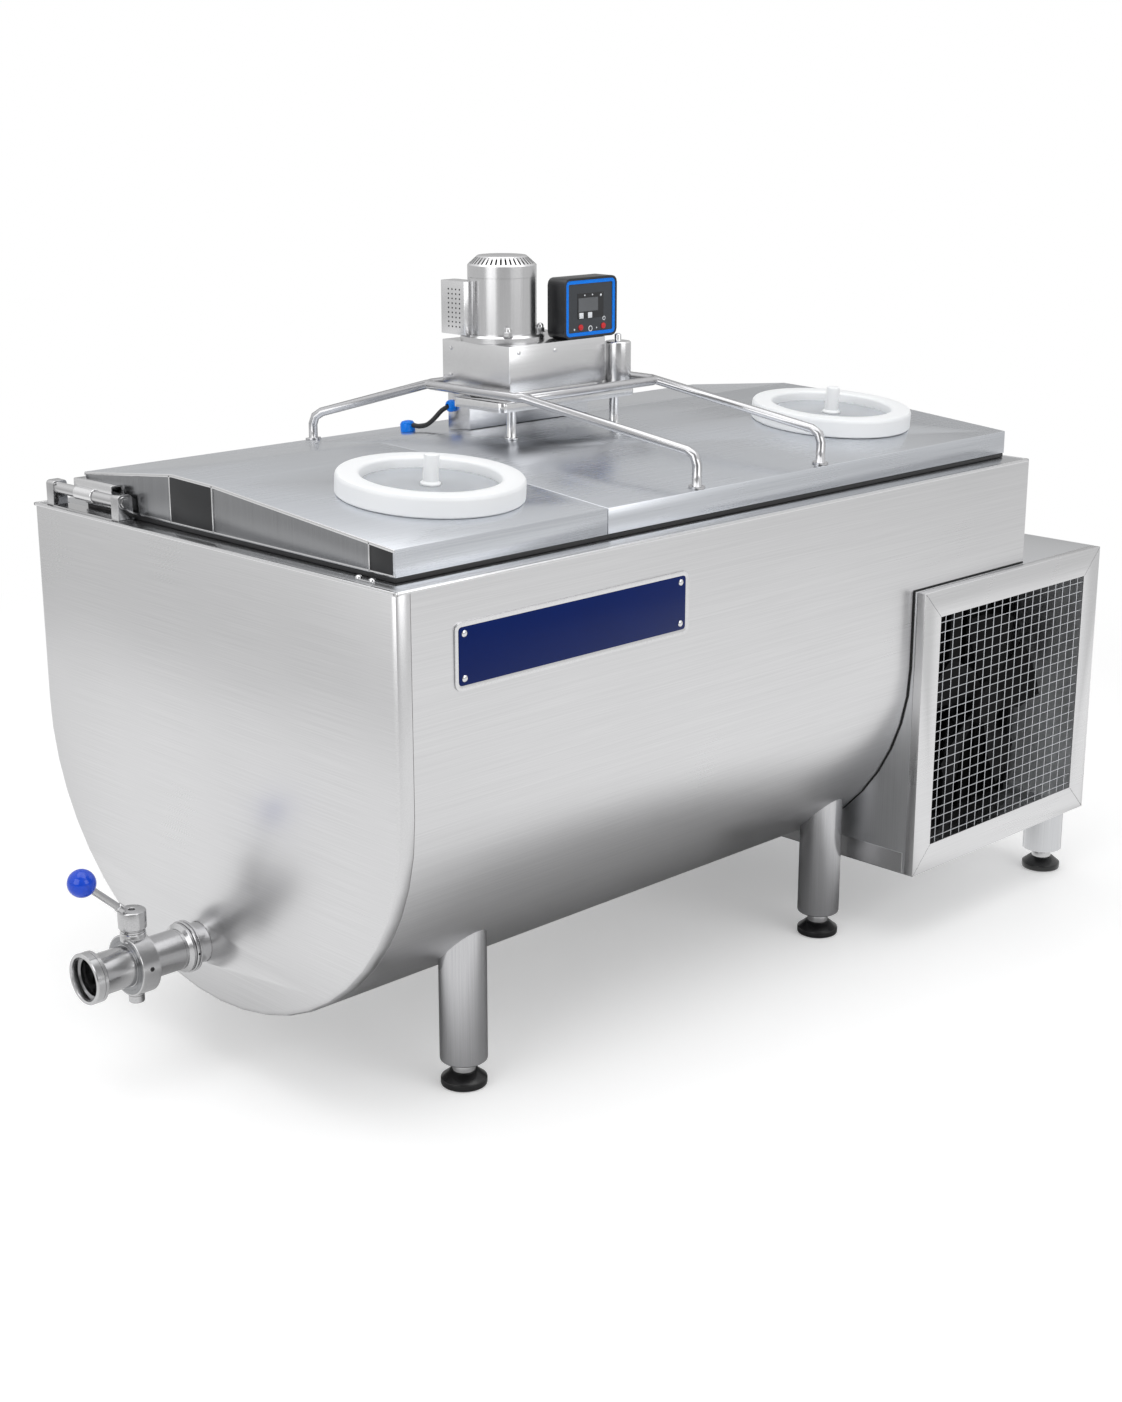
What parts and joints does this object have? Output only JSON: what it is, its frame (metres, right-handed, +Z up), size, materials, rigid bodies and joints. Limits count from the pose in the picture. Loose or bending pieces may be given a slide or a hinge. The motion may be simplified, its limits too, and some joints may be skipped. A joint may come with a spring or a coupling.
{
  "type": "milk cooler",
  "caption": "Horizontal insulated milk tank with tilting front lid, lift-off hatches, lid-mounted agitator drive, butterfly outlet valve and side condensing unit on levelling feet.",
  "frame": {"origin": "centre of the footprint's bounding box, on the floor under the feet", "axes": "+X along the tank from the outlet to the condensing unit, +Y from the grille side to the far side, +Z up"},
  "size_m": [1.9751, 0.96, 1.2301],
  "materials": {
    "brushed_steel": "brushed stainless sheet",
    "bright_steel": "polished stainless",
    "vessel_steel": "smooth dairy stainless",
    "insulation_foam": "closed cell foam",
    "evaporator_plate": "mill finish",
    "black_rubber": "matt",
    "white_plastic": "smooth food grade",
    "clear_plastic": "clear, slightly cloudy",
    "black_plastic": "fine grain",
    "grey_fascia": "matt film",
    "blue_plastic": "gloss",
    "red_plastic": "gloss",
    "plate_blue": "smooth paint",
    "wire_mesh": "bright wire",
    "coil_fins": "bare fins",
    "black_enamel": "black enamel"
  },
  "bodies": {
    "tank": {"outer_jacket": "brushed_steel", "front_head": "brushed_steel", "rim_deck": "brushed_steel", "fixed_cover": "brushed_steel", "pedestal": "brushed_steel", "drive_box": "brushed_steel", "motor_body": "brushed_steel", "motor_cowl": "brushed_steel", "terminal_box": "brushed_steel", "unit_case": "brushed_steel", "grille_frame": "brushed_steel", "leg_front_near": "brushed_steel", "leg_front_far": "brushed_steel", "leg_mid_near": "brushed_steel", "leg_mid_far": "brushed_steel", "hinge_bracket": "bright_steel", "guard_rail": "bright_steel", "drive_tray": "bright_steel", "canister": "bright_steel", "outlet_neck": "bright_steel", "valve_body": "bright_steel", "union_ring": "bright_steel", "milk_vessel": "vessel_steel", "foam_fill": "insulation_foam", "evaporator_plate": "evaporator_plate", "lid_gasket": "black_rubber", "probe_lead": "black_rubber", "control_box": "black_plastic", "control_fascia": "grey_fascia", "control_bezel": "blue_plastic", "probe_gland": "blue_plastic", "nameplate": "plate_blue", "grille_mesh": "wire_mesh", "coil_block": "coil_fins", "compressor": "black_enamel", "fan_motor": "black_enamel"},
    "front_lid": {"front_cover": "brushed_steel", "hinge_leaf": "bright_steel"},
    "hatch_front": {"hatch_ring_front": "white_plastic", "hatch_window_front": "clear_plastic", "hatch_knob_front": "white_plastic"},
    "hatch_rear": {"hatch_ring_rear": "white_plastic", "hatch_window_rear": "clear_plastic", "hatch_knob_rear": "white_plastic"},
    "agitator": {"agitator": "bright_steel"},
    "motor_fan": {"motor_fan": "black_plastic"},
    "condenser_fan": {"fan_rotor": "black_plastic"},
    "valve_handle": {"valve_disc": "bright_steel", "valve_lever": "bright_steel", "lever_knob": "blue_plastic"},
    "foot_front_near": {"foot_front_near": "black_rubber"},
    "foot_front_far": {"foot_front_far": "black_rubber"},
    "foot_mid_near": {"foot_mid_near": "black_rubber"},
    "foot_mid_far": {"foot_mid_far": "black_rubber"},
    "foot_unit_near": {"foot_unit_near": "black_rubber"},
    "foot_unit_far": {"foot_unit_far": "black_rubber"},
    "button_up": {"button_up": "white_plastic"},
    "button_down": {"button_down": "white_plastic"},
    "button_start": {"button_start": "red_plastic"},
    "button_stop": {"button_stop": "red_plastic"}
  },
  "joints": [
    {"name": "front_lid_hinge", "type": "hinge", "parent": "tank", "child": "front_lid", "pos_m": [-0.7434, 0.3165, 0.88], "axis": [0, -1, 0], "range_deg": [0, 75]},
    {"name": "hatch_front_lift", "type": "slide", "parent": "front_lid", "child": "hatch_front", "axis": [0, -0.083, 0.9965], "range_m": [0, 0.06]},
    {"name": "hatch_rear_lift", "type": "slide", "parent": "tank", "child": "hatch_rear", "axis": [0, -0.083, 0.9965], "range_m": [0, 0.06]},
    {"name": "agitator_spin", "type": "hinge", "parent": "tank", "child": "agitator", "pos_m": [0.0316, 0.1325, 0.6], "axis": [0, 0, 1], "continuous": true},
    {"name": "motor_fan_spin", "type": "hinge", "parent": "tank", "child": "motor_fan", "pos_m": [-0.0504, 0.085, 1.2], "axis": [0, 0, 1], "continuous": true},
    {"name": "condenser_fan_spin", "type": "hinge", "parent": "tank", "child": "condenser_fan", "pos_m": [0.7076, -0.42, 0.39], "axis": [0, 1, 0], "continuous": true},
    {"name": "valve_turn", "type": "hinge", "parent": "tank", "child": "valve_handle", "pos_m": [-0.8809, 0.045, 0.27], "axis": [0, 0, 1], "range_deg": [0, 90]},
    {"name": "foot_screw_front_near", "type": "slide", "parent": "tank", "child": "foot_front_near", "axis": [0, 0, 1], "range_m": [-0.025, 0]},
    {"name": "foot_screw_front_far", "type": "slide", "parent": "tank", "child": "foot_front_far", "axis": [0, 0, 1], "range_m": [-0.025, 0]},
    {"name": "foot_screw_mid_near", "type": "slide", "parent": "tank", "child": "foot_mid_near", "axis": [0, 0, 1], "range_m": [-0.025, 0]},
    {"name": "foot_screw_mid_far", "type": "slide", "parent": "tank", "child": "foot_mid_far", "axis": [0, 0, 1], "range_m": [-0.025, 0]},
    {"name": "foot_screw_unit_near", "type": "slide", "parent": "tank", "child": "foot_unit_near", "axis": [0, 0, 1], "range_m": [-0.025, 0]},
    {"name": "foot_screw_unit_far", "type": "slide", "parent": "tank", "child": "foot_unit_far", "axis": [0, 0, 1], "range_m": [-0.025, 0]},
    {"name": "button_up_press", "type": "slide", "parent": "tank", "child": "button_up", "axis": [0, 1, 0], "range_m": [0, 0.002], "stiffness_N_per_m": 600},
    {"name": "button_down_press", "type": "slide", "parent": "tank", "child": "button_down", "axis": [0, 1, 0], "range_m": [0, 0.002], "stiffness_N_per_m": 600},
    {"name": "button_start_press", "type": "slide", "parent": "tank", "child": "button_start", "axis": [0, 1, 0], "range_m": [0, 0.002], "stiffness_N_per_m": 600},
    {"name": "button_stop_press", "type": "slide", "parent": "tank", "child": "button_stop", "axis": [0, 1, 0], "range_m": [0, 0.002], "stiffness_N_per_m": 600}
  ],
  "couplings": [
    {"joint": "motor_fan_spin", "follows": "agitator_spin", "ratio": 28}
  ]
}
